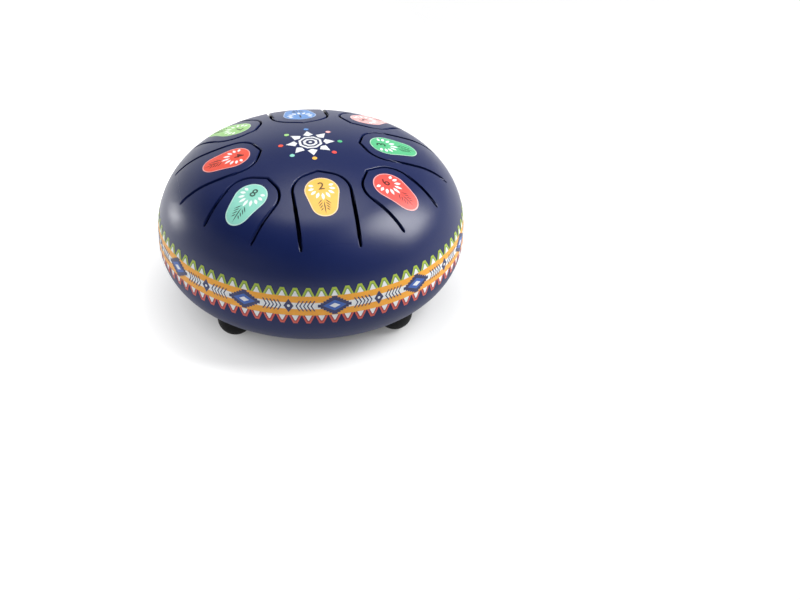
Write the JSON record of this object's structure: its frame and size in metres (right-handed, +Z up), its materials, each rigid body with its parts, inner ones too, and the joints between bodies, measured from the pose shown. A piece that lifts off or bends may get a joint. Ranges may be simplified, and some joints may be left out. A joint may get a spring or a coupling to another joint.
{
  "type": "steel tongue drum",
  "caption": "Round pressed-steel tongue drum with tuned tongues of two lengths, a printed belt, a bottom sound port and rubber feet.",
  "frame": {"origin": "on the drum's axis, on the ground plane under its feet", "axes": "+Z up along the drum's axis, -Y to the front, where the tongue of note 2 points"},
  "size_m": [0.1606, 0.1606, 0.0875],
  "materials": {
    "enamelled_steel": "deep blue satin enamel on pressed steel",
    "tongue_steel": "deep blue satin enamel on pressed steel",
    "bond": "cured adhesive",
    "belt_print": "satin printed film",
    "star_print": "satin printed film",
    "dot_print": "satin printed film, one colour for each dot",
    "foot_rubber": "matte black rubber",
    "mark_1_print": "satin printed film",
    "mark_2_print": "satin printed film",
    "mark_3_print": "satin printed film",
    "mark_4_print": "satin printed film",
    "mark_5_print": "satin printed film",
    "mark_6_print": "satin printed film",
    "mark_7_print": "satin printed film",
    "mark_8_print": "satin printed film"
  },
  "bodies": {
    "drum": {"upper_shell": "enamelled_steel", "lower_shell": "enamelled_steel", "seam_bond": "bond", "pattern_band": "belt_print", "centre_star": "star_print", "colour_dots": "dot_print", "foot_1": "foot_rubber", "foot_2": "foot_rubber", "foot_3": "foot_rubber", "foot_4": "foot_rubber"},
    "tongue_1": {"tongue_1": "tongue_steel", "note_mark_1": "mark_1_print"},
    "tongue_2": {"tongue_2": "tongue_steel", "note_mark_2": "mark_2_print"},
    "tongue_3": {"tongue_3": "tongue_steel", "note_mark_3": "mark_3_print"},
    "tongue_4": {"tongue_4": "tongue_steel", "note_mark_4": "mark_4_print"},
    "tongue_5": {"tongue_5": "tongue_steel", "note_mark_5": "mark_5_print"},
    "tongue_6": {"tongue_6": "tongue_steel", "note_mark_6": "mark_6_print"},
    "tongue_7": {"tongue_7": "tongue_steel", "note_mark_7": "mark_7_print"},
    "tongue_8": {"tongue_8": "tongue_steel", "note_mark_8": "mark_8_print"}
  },
  "joints": [
    {"name": "tongue_1_flex", "type": "hinge", "parent": "drum", "child": "tongue_1", "pos_m": [0, 0.06838, 0.06696], "axis": [-1, 0, 0], "range_deg": [-0.5, 0.5], "stiffness_Nm_per_rad": 3.6},
    {"name": "tongue_2_flex", "type": "hinge", "parent": "drum", "child": "tongue_2", "pos_m": [0, -0.06838, 0.06696], "axis": [1, 0, 0], "range_deg": [-0.5, 0.5], "stiffness_Nm_per_rad": 3.6},
    {"name": "tongue_3_flex", "type": "hinge", "parent": "drum", "child": "tongue_3", "pos_m": [0.06838, 0, 0.06696], "axis": [0, 1, 0], "range_deg": [-0.5, 0.5], "stiffness_Nm_per_rad": 3.6},
    {"name": "tongue_4_flex", "type": "hinge", "parent": "drum", "child": "tongue_4", "pos_m": [-0.06838, 0, 0.06696], "axis": [0, -1, 0], "range_deg": [-0.5, 0.5], "stiffness_Nm_per_rad": 3.6},
    {"name": "tongue_5_flex", "type": "hinge", "parent": "drum", "child": "tongue_5", "pos_m": [0.04835, 0.04835, 0.06696], "axis": [-0.7071, 0.7071, 0], "range_deg": [-0.5, 0.5], "stiffness_Nm_per_rad": 3.6},
    {"name": "tongue_6_flex", "type": "hinge", "parent": "drum", "child": "tongue_6", "pos_m": [0.04835, -0.04835, 0.06696], "axis": [0.7071, 0.7071, 0], "range_deg": [-0.5, 0.5], "stiffness_Nm_per_rad": 3.6},
    {"name": "tongue_7_flex", "type": "hinge", "parent": "drum", "child": "tongue_7", "pos_m": [-0.04835, 0.04835, 0.06696], "axis": [-0.7071, -0.7071, 0], "range_deg": [-0.5, 0.5], "stiffness_Nm_per_rad": 3.6},
    {"name": "tongue_8_flex", "type": "hinge", "parent": "drum", "child": "tongue_8", "pos_m": [-0.04835, -0.04835, 0.06696], "axis": [0.7071, -0.7071, 0], "range_deg": [-0.5, 0.5], "stiffness_Nm_per_rad": 3.6}
  ]
}
